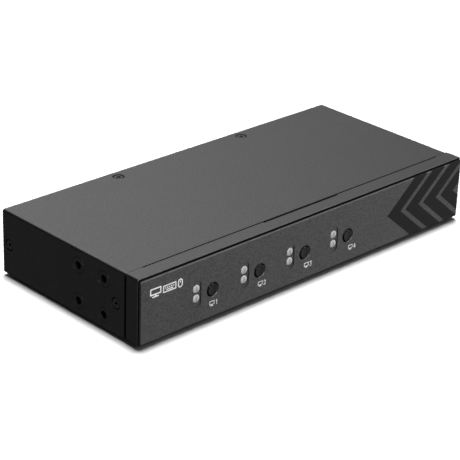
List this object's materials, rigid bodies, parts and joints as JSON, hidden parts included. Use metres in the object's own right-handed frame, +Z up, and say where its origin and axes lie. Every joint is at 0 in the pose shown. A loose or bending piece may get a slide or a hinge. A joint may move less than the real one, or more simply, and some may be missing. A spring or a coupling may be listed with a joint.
{
  "type": "kvm switch",
  "caption": "Low flat-box switch in a dark metal case: push buttons with paired lamps choose which computer uses the shared screen, keyboard and mouse.",
  "frame": {"origin": "middle of the footprint, on the surface that the rubber feet stand on", "axes": "+X to the right seen from the front, front with the buttons faces -Y, +Z up"},
  "size_m": [0.2864, 0.1304, 0.0455],
  "materials": {
    "case_paint": "fine textured powder coat, dark grey",
    "plate_paint": "sparkling matt lacquer, dark grey",
    "bezel_plastic": "fine spark-eroded texture, dark grey",
    "button_plastic": "satin, near black",
    "black_plastic": "moulded, black",
    "lamp_lens": "milky diffusing lens, unlit",
    "board_laminate": "green solder mask",
    "port_steel": "bright plated sheet",
    "dark_screw": "black zinc",
    "bright_screw": "bright zinc",
    "heatsink_alloy": "extruded, plain",
    "ribbon_grey": "grey flat cable",
    "foot_rubber": "matt black"
  },
  "bodies": {
    "case": {"base_chassis": "case_paint", "top_cover": "case_paint", "front_panel": "plate_paint", "front_bezel": "bezel_plastic", "ribbon_header_front": "black_plastic", "ribbon_header_main": "black_plastic", "switch_chip": "black_plastic", "audio_jacks": "black_plastic", "power_inlet": "black_plastic", "lamp_1_upper": "lamp_lens", "lamp_1_lower": "lamp_lens", "lamp_2_upper": "lamp_lens", "lamp_2_lower": "lamp_lens", "lamp_3_upper": "lamp_lens", "lamp_3_lower": "lamp_lens", "lamp_4_upper": "lamp_lens", "lamp_4_lower": "lamp_lens", "front_board": "board_laminate", "main_board": "board_laminate", "switch_body_1": "port_steel", "switch_body_2": "port_steel", "switch_body_3": "port_steel", "switch_body_4": "port_steel", "console_video_port": "port_steel", "computer_video_port_1": "port_steel", "computer_video_port_2": "port_steel", "computer_video_port_3": "port_steel", "computer_video_port_4": "port_steel", "computer_usb_port_1": "port_steel", "computer_usb_port_2": "port_steel", "computer_usb_port_3": "port_steel", "computer_usb_port_4": "port_steel", "keyboard_mouse_ports": "port_steel", "usb_hub_ports": "port_steel", "top_screw_1": "dark_screw", "top_screw_2": "dark_screw", "side_screw_1": "dark_screw", "side_screw_2": "dark_screw", "side_screw_3": "dark_screw", "side_screw_4": "dark_screw", "bezel_screw_1": "bright_screw", "bezel_screw_2": "bright_screw", "board_screw_1": "bright_screw", "board_screw_2": "bright_screw", "board_screw_3": "bright_screw", "board_screw_4": "bright_screw", "heatsink": "heatsink_alloy", "ribbon_cable": "ribbon_grey", "foot_1": "foot_rubber", "foot_2": "foot_rubber", "foot_3": "foot_rubber", "foot_4": "foot_rubber"},
    "button_1": {"button_cap_1": "button_plastic", "switch_plunger_1": "black_plastic"},
    "button_2": {"button_cap_2": "button_plastic", "switch_plunger_2": "black_plastic"},
    "button_3": {"button_cap_3": "button_plastic", "switch_plunger_3": "black_plastic"},
    "button_4": {"button_cap_4": "button_plastic", "switch_plunger_4": "black_plastic"}
  },
  "joints": [
    {"name": "button_1_press", "type": "slide", "parent": "case", "child": "button_1", "axis": [0, 1, 0], "range_m": [0, 0.0005], "stiffness_N_per_m": 2400},
    {"name": "button_2_press", "type": "slide", "parent": "case", "child": "button_2", "axis": [0, 1, 0], "range_m": [0, 0.0005], "stiffness_N_per_m": 2400},
    {"name": "button_3_press", "type": "slide", "parent": "case", "child": "button_3", "axis": [0, 1, 0], "range_m": [0, 0.0005], "stiffness_N_per_m": 2400},
    {"name": "button_4_press", "type": "slide", "parent": "case", "child": "button_4", "axis": [0, 1, 0], "range_m": [0, 0.0005], "stiffness_N_per_m": 2400}
  ]
}
